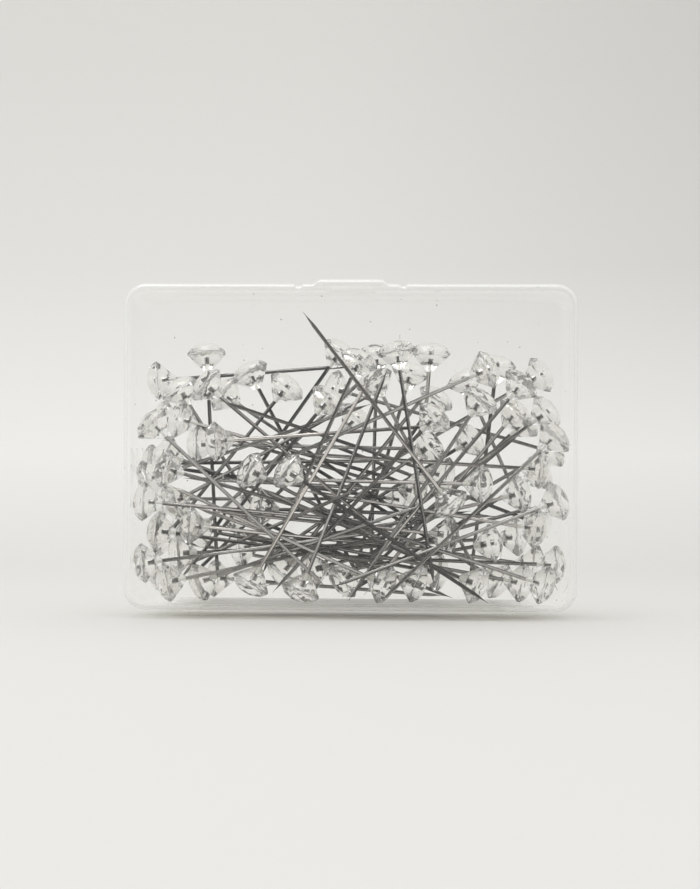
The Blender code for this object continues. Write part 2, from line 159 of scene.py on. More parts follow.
def bar_along_x(outline, low_x, high_x):
    """A bar along X with an outline of (y, z) points, for the hinge."""
    bm = bmesh.new()
    face = bm.faces.new([bm.verts.new((low_x, y, z)) for y, z in outline])
    grown = bmesh.ops.extrude_face_region(bm, geom=[face])
    moved = [v for v in grown["geom"] if isinstance(v, bmesh.types.BMVert)]
    bmesh.ops.translate(bm, verts=moved, vec=(high_x - low_x, 0, 0))
    bmesh.ops.recalc_face_normals(bm, faces=bm.faces)
    mesh = bpy.data.meshes.new("hinge_bar")
    bm.to_mesh(mesh)
    bm.free()
    return new_object("hinge_bar", mesh)


def hinge_arc(radius, start, end):
    """Points (y, z) on a circle about the hinge's axis, by angle from +Y towards +Z."""
    angles = [math.radians(start + (end - start) * step / 24) for step in range(25)]
    return [(SEAM_Y + radius * math.cos(angle), AXIS_Z + radius * math.sin(angle)) for angle in angles]


def moulded(name, mesh, changes):
    """The tray with its hinge solids joined to it or cut from it, as one plain mesh."""
    tray = new_object(name, mesh)
    for solid, operation in changes:
        boolean = tray.modifiers.new("hinge", "BOOLEAN")
        boolean.solver = "EXACT"
        boolean.operation = operation
        boolean.object = solid
    bpy.context.view_layer.update()
    ready = tray.evaluated_get(bpy.context.evaluated_depsgraph_get())
    finished = bpy.data.meshes.new_from_object(ready)
    tray.modifiers.clear()
    tray.data = finished
    finished.name = name
    for solid, operation in changes:
        bpy.data.objects.remove(solid, do_unlink=True)
    finished.shade_smooth()
    finished.set_sharp_from_angle(angle=math.radians(32))
    return tray


def channel(x):
    """How deep the two shallow channels beside the latch are at a place across the top."""
    off = abs(abs(x) - CHANNEL_OFFSET)
    return CHANNEL_DEPTH * (1 - smooth_step(off, CHANNEL_HALF - 0.25 * MM, CHANNEL_HALF + 0.1 * MM))


def base_top(x, y):
    """The base's top wall: the channels run along it and stop before the rear panel."""
    return -channel(x) * (1 - smooth_step(y, REAR_Y - 3 * MM, REAR_Y - 2 * MM))


def level(x, y):
    """A plain wall."""
    return 0


def ejector_ring(x, z):
    """The fine ridge that an ejector pin leaves on the inside of the rear panel."""
    bm = bmesh.new()
    rows = []
    for step in range(32):
        turn = math.tau * step / 32
        row = []
        for part in range(8):
            lean = math.tau * part / 8
            reach = RING_RADIUS + RING_RIDGE * math.cos(lean)
            row.append(bm.verts.new((x + reach * math.cos(turn),
                                     REAR_Y - WALL + RING_RIDGE * math.sin(lean),
                                     z + reach * math.sin(turn))))
        rows.append(row)
    for step in range(32):
        near, far = rows[step], rows[(step + 1) % 32]
        for part in range(8):
            follow = (part + 1) % 8
            bm.faces.new((near[part], near[follow], far[follow], far[part]))
    bmesh.ops.recalc_face_normals(bm, faces=bm.faces)
    mesh = bpy.data.meshes.new("ejector_ring")
    bm.to_mesh(mesh)
    bm.free()
    return new_object("ejector_ring", mesh)


foot_y = SEAM_Y + FOOT_DEPTH
lug = hinge_arc(BARREL_RADIUS, 90, 270) + [(foot_y, 0), (foot_y, BOTTOM_Z + WALL / 2)]
room = hinge_arc(BARREL_RADIUS + SEAM_GAP, 0, 180)
room += [(room[-1][0], -2 * MM), (room[0][0], -2 * MM)]
changes = []
for side in (-1, 1):
    middle = side * HINGE_OFFSET
    slot = KNUCKLE_HALF + SEAM_GAP
    changes.append((bar_along_x(lug, middle - LUG_HALF, middle + LUG_HALF), "UNION"))
    changes.append((bar_along_x(room, middle - slot, middle + slot), "DIFFERENCE"))
for side in (-1, 1):
    changes.append((ejector_ring(side * RING_OFFSET, BOTTOM_Z + RING_HEIGHT), "UNION"))
base_mesh = tray_mesh("case_base_clear", SEAM_Y + SEAM_GAP / 2, REAR_Y, base_top, level)
case_base = moulded("case_base_clear", base_mesh, changes)


def node_group(name, inputs, outputs):
    """A shader node group with named inputs and outputs, and its two end nodes."""
    group = bpy.data.node_groups.new(name, "ShaderNodeTree")
    for label, kind, value in inputs:
        socket = group.interface.new_socket(label, in_out="INPUT", socket_type=kind)
        if value is not None:
            socket.default_value = value
    for label, kind in outputs:
        group.interface.new_socket(label, in_out="OUTPUT", socket_type=kind)
    return group, group.nodes.new("NodeGroupInput"), group.nodes.new("NodeGroupOutput")


def join(tree, *joins):
    """Join nodes of a tree. Each join gives a node, its output, the next node and its input."""
    for source, output, target, socket in joins:
        tree.links.new(source.outputs[output], target.inputs[socket])


# Handling marks: specks of dust and hairline scuffs, which the case and the heads both have.
marks, marks_in, marks_out = node_group(
    "handling_marks",
    (("Vector", "NodeSocketVector", None), ("Speck Scale", "NodeSocketFloat", 900),
     ("Speck Share", "NodeSocketFloat", 0.1), ("Scuff Scale", "NodeSocketFloat", 120)),
    (("Specks", "NodeSocketFloat"), ("Scuffs", "NodeSocketFloat")))
specks = marks.nodes.new("ShaderNodeTexVoronoi")
specks.inputs["Randomness"].default_value = 1
speck_edge = marks.nodes.new("ShaderNodeMapRange")
speck_edge.inputs["From Min"].default_value = 0.09
speck_edge.inputs["From Max"].default_value = 0.05
speck_draw = marks.nodes.new("ShaderNodeSeparateColor")
speck_pick = marks.nodes.new("ShaderNodeMath")
speck_pick.operation = "LESS_THAN"
speck_kept = marks.nodes.new("ShaderNodeMath")
speck_kept.operation = "MULTIPLY"
scuffs = marks.nodes.new("ShaderNodeTexNoise")
scuffs.inputs["Detail"].default_value = 6
scuffs.inputs["Distortion"].default_value = 1.5
join(marks, (marks_in, "Vector", specks, "Vector"), (marks_in, "Speck Scale", specks, "Scale"),
     (specks, "Distance", speck_edge, "Value"), (specks, "Color", speck_draw, "Color"),
     (speck_draw, "Red", speck_pick, 0), (marks_in, "Speck Share", speck_pick, 1),
     (speck_edge, "Result", speck_kept, 0), (speck_pick, "Value", speck_kept, 1),
     (speck_kept, "Value", marks_out, "Specks"), (marks_in, "Vector", scuffs, "Vector"),
     (marks_in, "Scuff Scale", scuffs, "Scale"), (scuffs, "Fac", marks_out, "Scuffs"))

# The case plastic is thin and very clear: it passes nearly all light, its faces mirror a little, more
# where they turn away, and there is a trace of haze in it. Along the bottom the haze is thicker where
# pins rub it, and it is painted darker in the middle as painted shade under the heap of pins.
CASE_COLOUR = (0.999, 0.999, 0.997)
CASE_HAZE = (0.90, 0.90, 0.885)
CASE_SHADOW = (0.96, 0.96, 0.955)
# The darker haze colour low on the case is partly haze rubbed in by the pins and partly painted shade,
# where the heap shades the bottom wall.
RUBBED_AND_SHADED_HAZE = (0.66, 0.645, 0.60)
RUBBED_SHADOW = (0.88, 0.87, 0.84)
DUST_COLOUR = (0.32, 0.31, 0.29)
RIM_HAZE_AND_HIGHLIGHT = 0.6
case_plastic = bpy.data.materials.new("clear_polystyrene")
case_plastic.use_nodes = True
case_tree = case_plastic.node_tree
case_haze = case_tree.nodes["Principled BSDF"]
case_haze.inputs["Roughness"].default_value = 0.5
dusted = case_tree.nodes.new("ShaderNodeMix")
dusted.data_type = "RGBA"
dusted.inputs["B"].default_value = (*DUST_COLOUR, 1)
case_clear = case_tree.nodes.new("ShaderNodeBsdfTransparent")
case_clear.inputs["Color"].default_value = (*CASE_COLOUR, 1)
case_mirror = case_tree.nodes.new("ShaderNodeBsdfAnisotropic")
case_mirror.inputs["Color"].default_value = (1, 1, 1, 1)
case_place = case_tree.nodes.new("ShaderNodeTexCoord")
case_marks = case_tree.nodes.new("ShaderNodeGroup")
case_marks.node_tree = marks
case_marks.inputs["Speck Scale"].default_value = 520
case_marks.inputs["Scuff Scale"].default_value = 60
case_gloss = case_tree.nodes.new("ShaderNodeMapRange")
case_gloss.inputs["To Min"].default_value = 0.03
case_gloss.inputs["To Max"].default_value = 0.05
edge_on = case_tree.nodes.new("ShaderNodeLayerWeight")
edge_on.inputs["Blend"].default_value = 0.5
milk = case_tree.nodes.new("ShaderNodeMapRange")
milk.interpolation_type = "SMOOTHSTEP"
milk.inputs["From Min"].default_value = 0.4
milk.inputs["From Max"].default_value = 1
milk.inputs["To Min"].default_value = 0.004
case_height = case_tree.nodes.new("ShaderNodeSeparateXYZ")
low_part = case_tree.nodes.new("ShaderNodeMapRange")
low_part.inputs["From Max"].default_value = BOTTOM_Z + 4 * MM
# The band along the bottom wall, weaker towards the side corners, carries the rubbed haze and its
# painted shade.
rubbed_and_shaded_band = case_tree.nodes.new("ShaderNodeValToRGB")
rubbed_and_shaded_band.color_ramp.interpolation = "EASE"
rubbed_and_shaded_band.color_ramp.elements[0].position = 0.24
rubbed_and_shaded_band.color_ramp.elements[0].color = (0.10, 0.10, 0.10, 1)
rubbed_and_shaded_band.color_ramp.elements[1].position = 1
rubbed_and_shaded_band.color_ramp.elements[1].color = (0.12, 0.12, 0.12, 1)
for share in (0.32, 0.49):
    milky = rubbed_and_shaded_band.color_ramp.elements.new(share)
    milky.color = (0.85, 0.85, 0.85, 1)
off_side = case_tree.nodes.new("ShaderNodeMath")
off_side.operation = "ABSOLUTE"
flat_part = case_tree.nodes.new("ShaderNodeMapRange")
flat_part.interpolation_type = "SMOOTHSTEP"
flat_part.inputs["From Min"].default_value = HALF_WIDTH - 3 * MM
flat_part.inputs["From Max"].default_value = HALF_WIDTH - 16 * MM
flat_part.inputs["To Min"].default_value = 0.1
worn_and_shaded = case_tree.nodes.new("ShaderNodeMath")
worn_and_shaded.operation = "MULTIPLY"
even = case_tree.nodes.new("ShaderNodeMath")
even.operation = "SUBTRACT"
even.inputs[0].default_value = 1
polished = case_tree.nodes.new("ShaderNodeMath")
polished.operation = "MULTIPLY"
# Painted shade: the haze turns darker across the band along the bottom.
haze_with_painted_shade = case_tree.nodes.new("ShaderNodeMix")
haze_with_painted_shade.data_type = "RGBA"
haze_with_painted_shade.inputs["A"].default_value = (*CASE_HAZE, 1)
haze_with_painted_shade.inputs["B"].default_value = (*RUBBED_AND_SHADED_HAZE, 1)
rim_gloss = case_tree.nodes.new("ShaderNodeFresnel")
rim_gloss.inputs["IOR"].default_value = 1.5
sides = case_tree.nodes.new("ShaderNodeNewGeometry")
outside = case_tree.nodes.new("ShaderNodeMath")
outside.operation = "SUBTRACT"
outside.inputs[0].default_value = 1
shine = case_tree.nodes.new("ShaderNodeMath")
shine.operation = "MULTIPLY"
shine.use_clamp = True
off_middle = case_tree.nodes.new("ShaderNodeMath")
off_middle.operation = "MULTIPLY"
off_middle.inputs[1].default_value = -1
# Along the rounded front rim the haze is thicker: partly haze, partly a painted highlight for the light
# that the rounded edge carries.
rim_zone = case_tree.nodes.new("ShaderNodeMapRange")
rim_zone.interpolation_type = "SMOOTHSTEP"
rim_zone.inputs["From Min"].default_value = REAR_Y - EDGE_RADIUS - 0.3 * MM
rim_zone.inputs["From Max"].default_value = REAR_Y - EDGE_RADIUS + 0.1 * MM
rim_zone.inputs["To Max"].default_value = RIM_HAZE_AND_HIGHLIGHT
face_way = case_tree.nodes.new("ShaderNodeSeparateXYZ")
forward = case_tree.nodes.new("ShaderNodeMath")
forward.operation = "ABSOLUTE"
rim_turn = case_tree.nodes.new("ShaderNodeMapRange")
rim_turn.interpolation_type = "SMOOTHSTEP"
rim_turn.inputs["From Min"].default_value = 0.999
rim_turn.inputs["From Max"].default_value = 0.95
rim_milk_and_highlight = case_tree.nodes.new("ShaderNodeMath")
rim_milk_and_highlight.operation = "MULTIPLY"
# The haze and the rim's painted highlight together.
haze_and_rim_highlight = case_tree.nodes.new("ShaderNodeMath")
haze_and_rim_highlight.operation = "MAXIMUM"
veil = case_tree.nodes.new("ShaderNodeMath")
veil.operation = "MAXIMUM"
hazed = case_tree.nodes.new("ShaderNodeMixShader")
glossed = case_tree.nodes.new("ShaderNodeMixShader")
case_path = case_tree.nodes.new("ShaderNodeLightPath")
light_way = case_tree.nodes.new("ShaderNodeMath")
light_way.operation = "MAXIMUM"
case_dimmed = case_tree.nodes.new("ShaderNodeBsdfTransparent")
case_shadow = case_tree.nodes.new("ShaderNodeMix")
case_shadow.data_type = "RGBA"
case_shadow.inputs["A"].default_value = (*CASE_SHADOW, 1)
case_shadow.inputs["B"].default_value = (*RUBBED_SHADOW, 1)
case_shaded = case_tree.nodes.new("ShaderNodeMixShader")
case_end = case_tree.nodes["Material Output"]
join(case_tree, (case_place, "Object", case_marks, "Vector"),
     (case_marks, "Scuffs", case_gloss, "Value"), (case_gloss, "Result", case_mirror, "Roughness"),
     (case_place, "Object", case_height, "Vector"), (case_height, "Z", low_part, "Value"),
     (low_part, "Result", rubbed_and_shaded_band, "Fac"), (edge_on, "Facing", milk, "Value"),
     (case_height, "X", off_side, 0), (off_side, "Value", flat_part, "Value"),
     (rubbed_and_shaded_band, "Color", worn_and_shaded, 0), (flat_part, "Result", worn_and_shaded, 1), (worn_and_shaded, "Value", milk, "To Max"),
     (worn_and_shaded, "Value", case_shadow, "Factor"), (case_shadow, "Result", case_dimmed, "Color"),
     (worn_and_shaded, "Value", haze_with_painted_shade, "Factor"), (haze_with_painted_shade, "Result", dusted, "A"),
     (case_marks, "Specks", dusted, "Factor"), (dusted, "Result", case_haze, "Base Color"),
     (case_height, "Y", off_middle, 0), (off_middle, "Value", rim_zone, "Value"),
     (case_place, "Normal", face_way, "Vector"), (face_way, "Y", forward, 0),
     (forward, "Value", rim_turn, "Value"), (rim_zone, "Result", rim_milk_and_highlight, 0),
     (rim_turn, "Result", rim_milk_and_highlight, 1), (milk, "Result", haze_and_rim_highlight, 0),
     (rim_milk_and_highlight, "Value", haze_and_rim_highlight, 1), (haze_and_rim_highlight, "Value", veil, 0),
     (case_marks, "Specks", veil, 1), (veil, "Value", hazed, "Fac"), (case_clear, "BSDF", hazed, 1),
     (case_haze, "BSDF", hazed, 2), (sides, "Backfacing", outside, 1), (rim_gloss, "Fac", shine, 0),
     (outside, "Value", shine, 1), (worn_and_shaded, "Value", even, 1), (shine, "Value", polished, 0),
     (even, "Value", polished, 1), (polished, "Value", glossed, "Fac"), (hazed, "Shader", glossed, 1),
     (case_mirror, "BSDF", glossed, 2), (case_path, "Is Shadow Ray", light_way, 0),
     (case_path, "Is Diffuse Ray", light_way, 1), (light_way, "Value", case_shaded, "Fac"),
     (glossed, "Shader", case_shaded, 1), (case_dimmed, "BSDF", case_shaded, 2),
     (case_shaded, "Shader", case_end, "Surface"))
case_base.data.materials.clear()
case_base.data.materials.append(case_plastic)
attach(case_base, "base")
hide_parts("case_base")

# The case lid is the front tray, moulded like the base. Two knuckles with pegs turn in the base's lugs,
# and the raised tab in the middle of the top edge snaps over the base and has a pocket under it.
TAB_HALF = 6.0 * MM
TAB_SHOULDER = 1.6 * MM
TAB_RISE = 0.9 * MM
TAB_REACH = 3.5 * MM
POCKET_HALF = 4.5 * MM
PEG_RADIUS = 0.45 * MM
PEG_LENGTH = 1.2 * MM
ROOT_DEPTH = 2.2 * MM


def lid_top(x, y):
    """The lid's top wall: the tab with its soft shoulders, and the channels beside it."""
    return TAB_RISE * (1 - smooth_step(abs(x), TAB_HALF, TAB_HALF + TAB_SHOULDER)) - channel(x)


def pocket(x, y):
    """The pocket under the tab."""
    return TAB_RISE * (1 - smooth_step(abs(x), POCKET_HALF - 0.3 * MM, POCKET_HALF + 0.3 * MM))


root_y = SEAM_Y - ROOT_DEPTH
root_top = BOTTOM_Z + WALL / 2
knuckle = hinge_arc(BARREL_RADIUS, 90, -180)
knuckle += [(root_y, AXIS_Z + SEAM_GAP / 2), (root_y, root_top), (SEAM_Y, root_top)]
sweep = hinge_arc(BARREL_RADIUS + SEAM_GAP, 0, 345)
peg = hinge_arc(PEG_RADIUS, 0, 345)
changes = []
for side in (-1, 1):
    middle = side * HINGE_OFFSET
    swept = LUG_HALF + SEAM_GAP
    reach = KNUCKLE_HALF + PEG_LENGTH
    changes.append((bar_along_x(sweep, middle - swept, middle + swept), "DIFFERENCE"))
    changes.append((bar_along_x(knuckle, middle - KNUCKLE_HALF, middle + KNUCKLE_HALF), "UNION"))
    changes.append((bar_along_x(peg, middle - reach, middle + reach), "UNION"))
tongue_low = TOP_Z + SEAM_GAP
tongue_high = TOP_Z + TAB_RISE - 0.06 * MM
tongue_end = SEAM_Y + TAB_REACH
tongue = [(SEAM_Y - 3 * MM, tongue_low), (tongue_end, tongue_low), (tongue_end, tongue_high - 0.25 * MM),
          (tongue_end - 0.08 * MM, tongue_high - 0.08 * MM), (tongue_end - 0.25 * MM, tongue_high),
          (SEAM_Y - 3 * MM, tongue_high)]
changes.append((bar_along_x(tongue, -TAB_HALF + 0.1 * MM, TAB_HALF - 0.1 * MM), "UNION"))
lid_mesh = tray_mesh("case_lid_clear", SEAM_Y - SEAM_GAP / 2, FRONT_Y, lid_top, pocket)
case_lid = moulded("case_lid_clear", lid_mesh, changes)
case_lid.data.materials.clear()
case_lid.data.materials.append(case_plastic)
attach(case_lid, "lid")
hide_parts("case_lid")

# Each pin is a steel wire with a ground point, pushed up into a head of clear acrylic. The pins at the
# back of the heap are where the frame has them, and their ends are read from its wires.
PIN_LENGTH = 50 * MM
WIRE_RADIUS = 0.38 * MM
POINT_LENGTH = 4 * MM
HEAD_RADIUS = 4 * MM
TABLE_HEIGHT = 2.25 * MM
CROWN_TOP = 2.05 * MM
GIRDLE_HALF = 0.16 * MM
CROWN_RADIUS = 3.5 * MM
CROWN_LEVEL = 0.75 * MM
STAR_RADIUS = 2.3 * MM
STAR_LEVEL = 1.62 * MM
TABLE_RADIUS = 1.05 * MM
HEAD_END_RADIUS = 0.5 * MM
HEAD_END_DEPTH = 3.8 * MM
WIRE_INSET = 1.25 * MM
WIRE_TOP = -0.3 * MM
HEAD_TURN = 25
AXIS_LENGTH = PIN_LENGTH - TABLE_HEIGHT

shank_names = sorted(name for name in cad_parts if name.startswith("pin_shank"))
head_names = sorted(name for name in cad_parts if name.startswith("pin_head"))
packed = []
for shank_name, head_name in zip(shank_names, head_names):
    wire = np.array([vert.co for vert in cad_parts[shank_name].data.vertices])
    head = np.array([vert.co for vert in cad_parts[head_name].data.vertices]).mean(axis=0)
    tip = wire[np.argmax(np.linalg.norm(wire - head, axis=1))]
    near = wire[np.linalg.norm(wire - tip, axis=1) < 1 * MM].mean(axis=0)
    far = wire[np.linalg.norm(wire - tip, axis=1) > PIN_LENGTH - WIRE_INSET - 1 * MM].mean(axis=0)
    aim = (far - near) / np.linalg.norm(far - near)
    packed.append((near + aim * AXIS_LENGTH, near))

# The pins in front of them, rear to front: the head's place across the case and up from its bottom in
# millimetres, and where the point faces, in degrees from +X.
front_pins = (
    (-38, 36, -10), (-33, 34, -3), (-38, 20, -17), (-28, 44, -35), (-23, 46, -56), (-17, 47, -121),
    (-11, 43, -119), (8, 25, 176), (6, 49, -75), (13, 22, 180), (36, 37, -140), (34, 13, -178),
    (28, 39, -139), (-38, 7, 25), (-23, 19, -20), (-39, 15, -10), (38, 15, 172), (-36, 9, 6),
    (30, 8, 177), (-39, 26, 5), (38, 10, -178), (-31, 16, -8), (12, 6, 172), (-28, 8, 3),
    (36, 20, -170), (-39, 25, 15), (-28, 42, -36), (26, 22, 175), (-36, 7, 24), (11, 7, 165),
    (-38, 22, 26), (-39, 27, -12), (-39, 20, -1), (-39, 11, 1), (-28, 33, 1), (-20, 27, -30),
    (-17, 21, -5), (-12, 10, 49), (6, 7, 160), (-1, 7, 39), (24, 8, 162), (35, 7, 158), (21, 17, 178),
    (19, 30, 168), (39, 24, -157), (39, 31, -177), (38, 37, -133), (33, 38, -131), (34, 46, -127),
    (25, 42, -125), (16, 39, -137), (29, 47, -154), (11, 51, -81), (0, 50, -114), (-38, 38, -48),
    (-21, 7, 60), (-11, 7, 66), (-13, 25, -29), (18, 20, 125),
)
ends = np.zeros((len(packed) + len(front_pins), 2, 3))
ends[:len(packed)] = packed
depths = np.linspace(1.5 * MM, -5.5 * MM, len(front_pins))
for number, (across, up, heading) in enumerate(front_pins):
    turn = math.radians(heading)
    head = np.array((across * MM, depths[number], BOTTOM_Z + up * MM))
    ends[len(packed) + number] = head, head + np.array((math.cos(turn), 0, math.sin(turn))) * AXIS_LENGTH


def head_reach(slope):
    """How far a head reaches from its girdle. slope is the cosine between the way and its table."""
    across = np.sqrt(np.maximum(0, 1 - slope ** 2))
    corners = ((TABLE_RADIUS, CROWN_TOP), (STAR_RADIUS, STAR_LEVEL), (CROWN_RADIUS, CROWN_LEVEL),
               (HEAD_RADIUS, GIRDLE_HALF), (HEAD_RADIUS, -GIRDLE_HALF),
               (HEAD_END_RADIUS, -HEAD_END_DEPTH))
    return np.max([radius * across + height * slope for radius, height in corners], axis=0)


def dot(first, second):
    """The dot product of rows of vectors."""
    return np.einsum("ij,ij->i", first, second)


def give_way(ends, move, yields, pair, shares, reach):
    """Add up how pins move where two come nearer than reach. yields says how easily each does."""
    spots = [ends[pin, 0] + (ends[pin, 1] - ends[pin, 0]) * share[:, None]
             for pin, share in zip(pair, shares)]
    gap = spots[1] - spots[0]
    distance = np.maximum(np.linalg.norm(gap, axis=1), 1e-7)
    normal = gap / distance[:, None]
    need = reach(normal) - distance
    near = need > 0
    eased = normal[near] * (0.5, 1, 0.5)
    weight = sum(yields[pin[near]] * ((1 - share[near]) ** 2 + share[near] ** 2)
                 for pin, share in zip(pair, shares))
    step = (need[near] / (weight * dot(eased, normal[near])))[:, None] * eased
    for pin, share, way in zip(pair, shares, (-1, 1)):
        own = way * yields[pin[near]][:, None] * step
        np.add.at(move, (pin[near], 0), own * (1 - share[near])[:, None])
        np.add.at(move, (pin[near], 1), own * share[near][:, None])


SETTLE_ROUNDS = 900
SETTLE_STEP = 0.5
HOME_PULL = 0.006
SPARE = 0.05 * MM


def settle(ends, yields, held):
    """Shake the pins after the first held ones until none runs far through another."""
    home = ends.copy()
    count = len(ends)
    low = HEAD_END_DEPTH / AXIS_LENGTH
    one, other = np.triu_indices(count, 1)
    free = other >= held
    one, other = one[free], other[free]
    head, wire = np.nonzero(~np.eye(count, dtype=bool))
    free = (head >= held) | (wire >= held)
    head, wire = head[free], wire[free]
    zeros = np.zeros(len(one))
    lows = np.array((-HALF_WIDTH, FRONT_Y, BOTTOM_Z)) + WALL + (DRAFT, 0, DRAFT)
    highs = np.array((HALF_WIDTH, REAR_Y, TOP_Z)) - WALL - (DRAFT, 0, DRAFT)
    for turn in range(SETTLE_ROUNDS):
        way = (ends[:, 0] - ends[:, 1]) / AXIS_LENGTH
        move = np.zeros_like(ends)
        run_one, run_other = ends[one, 1] - ends[one, 0], ends[other, 1] - ends[other, 0]
        apart = ends[one, 0] - ends[other, 0]
        square = AXIS_LENGTH ** 2
        mixed, lead, trail = dot(run_one, run_other), dot(run_one, apart), dot(run_other, apart)
        flat = np.maximum(square ** 2 - mixed ** 2, square ** 2 * 1e-9)
        share = np.clip((mixed * trail - lead * square) / flat, low, 1)
        other_share = np.clip((mixed * share + trail) / square, low, 1)
        share = np.clip((mixed * other_share - lead) / square, low, 1)
        give_way(ends, move, yields, (one, other), (share, other_share),
                 lambda normal: np.full(len(normal), 2 * WIRE_RADIUS + SPARE))
        give_way(ends, move, yields, (one, other), (zeros, zeros),
                 lambda normal: (head_reach(dot(normal, way[one])) + head_reach(-dot(normal, way[other]))
                                 + SPARE))
        along = dot(ends[head, 0] - ends[wire, 0], ends[wire, 1] - ends[wire, 0]) / square
        along = np.clip(along, low, 1)
        give_way(ends, move, yields, (head, wire), (np.zeros(len(head)), along),
                 lambda normal: head_reach(dot(normal, way[head])) + WIRE_RADIUS + SPARE)
        ends += move * SETTLE_STEP
        pull = HOME_PULL * max(0, 1 - 1.5 * turn / SETTLE_ROUNDS)
        ends[held:, :, 0::2] += (home - ends)[held:, :, 0::2] * pull
        middle = ends[held:].mean(axis=1)
        run = ends[held:, 1] - ends[held:, 0]
        half = run / np.linalg.norm(run, axis=1)[:, None] * AXIS_LENGTH / 2
        ends[held:, 0] = middle - half
        ends[held:, 1] = middle + half
        way = (ends[:, 0] - ends[:, 1]) / AXIS_LENGTH
        for axis in range(3):
            slope = way[held:, axis]
            ends[held:, 0, axis] = np.clip(ends[held:, 0, axis], lows[axis] + head_reach(-slope),
                                           highs[axis] - head_reach(slope))
            ends[held:, 1, axis] = np.clip(ends[held:, 1, axis], lows[axis] + WIRE_RADIUS,
                                           highs[axis] - WIRE_RADIUS)
    middle = ends.mean(axis=1)
    run = ends[:, 1] - ends[:, 0]
    half = run / np.linalg.norm(run, axis=1)[:, None] * AXIS_LENGTH / 2
    ends[:, 0] = middle - half
    ends[:, 1] = middle + half


yields = np.zeros(len(ends))
yields[len(packed):] = np.linspace(1, 0.05, len(front_pins))
settle(ends, yields, len(packed))

# The pins nearest the lid get the most light, so their plating is painted brighter towards the lid, as
# painted light on top of a tone that differs at random.
BRIGHT_BACK = 3 * MM
BRIGHT_DEPTH = 9 * MM
TONE_STEP = 0.618034
TONE_SPREAD = 0.7


def pin_points(name, first, last):
    """A mesh with one point at each pin's girdle, and how each pin is turned."""
    mesh = bpy.data.meshes.new(name)
    mesh.from_pydata([tuple(end[0]) for end in ends[first:last]], [], [])
    leans = []
    tones = []
    for number in range(first, last):
        upright = (Vector(ends[number, 0]) - Vector(ends[number, 1])).to_track_quat("Z", "Y")
        turned = upright.to_matrix().to_4x4() @ Matrix.Rotation(math.radians(number * HEAD_TURN), 4, "Z")
        leans += list(turned.to_euler())
        # Painted light: the nearer a pin is to the lid, the brighter its tone.
        nearness = np.clip((BRIGHT_BACK - ends[number, :, 1].mean()) / BRIGHT_DEPTH, 0, 1)
        tones.append(TONE_SPREAD * (number * TONE_STEP % 1) + (1 - TONE_SPREAD) * nearness)
    mesh.attributes.new("lean", "FLOAT_VECTOR", "POINT").data.foreach_set("vector", leans)
    mesh.attributes.new("tone", "FLOAT", "POINT").data.foreach_set("value", tones)
    return new_object(name, mesh)


# The heads are brilliant cut: a ring of girdle facets, main facets and stars above it, and two rings
# below that run down to the wire. They are moulded in acrylic, so their edges are a little soft.
UPPER_GIRDLE_ANGLE = 52
CROWN_ANGLE = 39
STAR_ANGLE = 20
LOWER_GIRDLE_ANGLE = 48.5
PAVILION_ANGLE = 46
HEAD_EDGE = 0.15 * MM
FACET_AREA = 0.2 * MM * MM
SLIVER = 0.25 * MM
BORE_RADIUS = 0.42 * MM
BORE_GAP = 0.1 * MM


def cut_facets(bm, angle, radius, height, azimuth, count):
    """Grind a ring of flat facets: each leans by angle and passes through radius at height."""
    lean = math.radians(angle)
    for step in range(count):
        turn = azimuth + step * math.tau / count
        normal = Vector((math.cos(turn) * math.sin(lean), math.sin(turn) * math.sin(lean),
                         math.copysign(math.cos(lean), height)))
        through = Vector((math.cos(turn) * radius, math.sin(turn) * radius, height))
        cut = bmesh.ops.bisect_plane(bm, geom=bm.verts[:] + bm.edges[:] + bm.faces[:], dist=1e-7,
                                     plane_co=through, plane_no=normal, clear_outer=True)
        edges = [e for e in cut["geom_cut"] if isinstance(e, bmesh.types.BMEdge)]
        if edges:
            bmesh.ops.edgeloop_fill(bm, edges=edges)


bm = bmesh.new()
bmesh.ops.create_cone(bm, cap_ends=True, segments=16, radius1=HEAD_RADIUS, radius2=HEAD_RADIUS,
                      depth=CROWN_TOP + HEAD_END_DEPTH,
                      matrix=Matrix.Translation((0, 0, (CROWN_TOP - HEAD_END_DEPTH) / 2)))
flat_radius = HEAD_RADIUS * math.cos(math.pi / 16)
cut_facets(bm, UPPER_GIRDLE_ANGLE, flat_radius, GIRDLE_HALF, math.pi / 16, 16)
cut_facets(bm, CROWN_ANGLE, CROWN_RADIUS, CROWN_LEVEL, 0, 8)
cut_facets(bm, STAR_ANGLE, STAR_RADIUS, STAR_LEVEL, math.pi / 8, 8)
cut_facets(bm, LOWER_GIRDLE_ANGLE, flat_radius, -GIRDLE_HALF, math.pi / 16, 16)
cut_facets(bm, PAVILION_ANGLE, HEAD_RADIUS, -GIRDLE_HALF, 0, 8)
bmesh.ops.remove_doubles(bm, verts=bm.verts[:], dist=SLIVER)
bmesh.ops.bevel(bm, geom=bm.edges[:], offset=HEAD_EDGE, segments=3, profile=0.5, affect="EDGES",
                clamp_overlap=True)
bmesh.ops.recalc_face_normals(bm, faces=bm.faces)
gem_mesh = bpy.data.meshes.new("cut_head")
bm.to_mesh(gem_mesh)
bm.free()
gem = new_object("cut_head", gem_mesh)

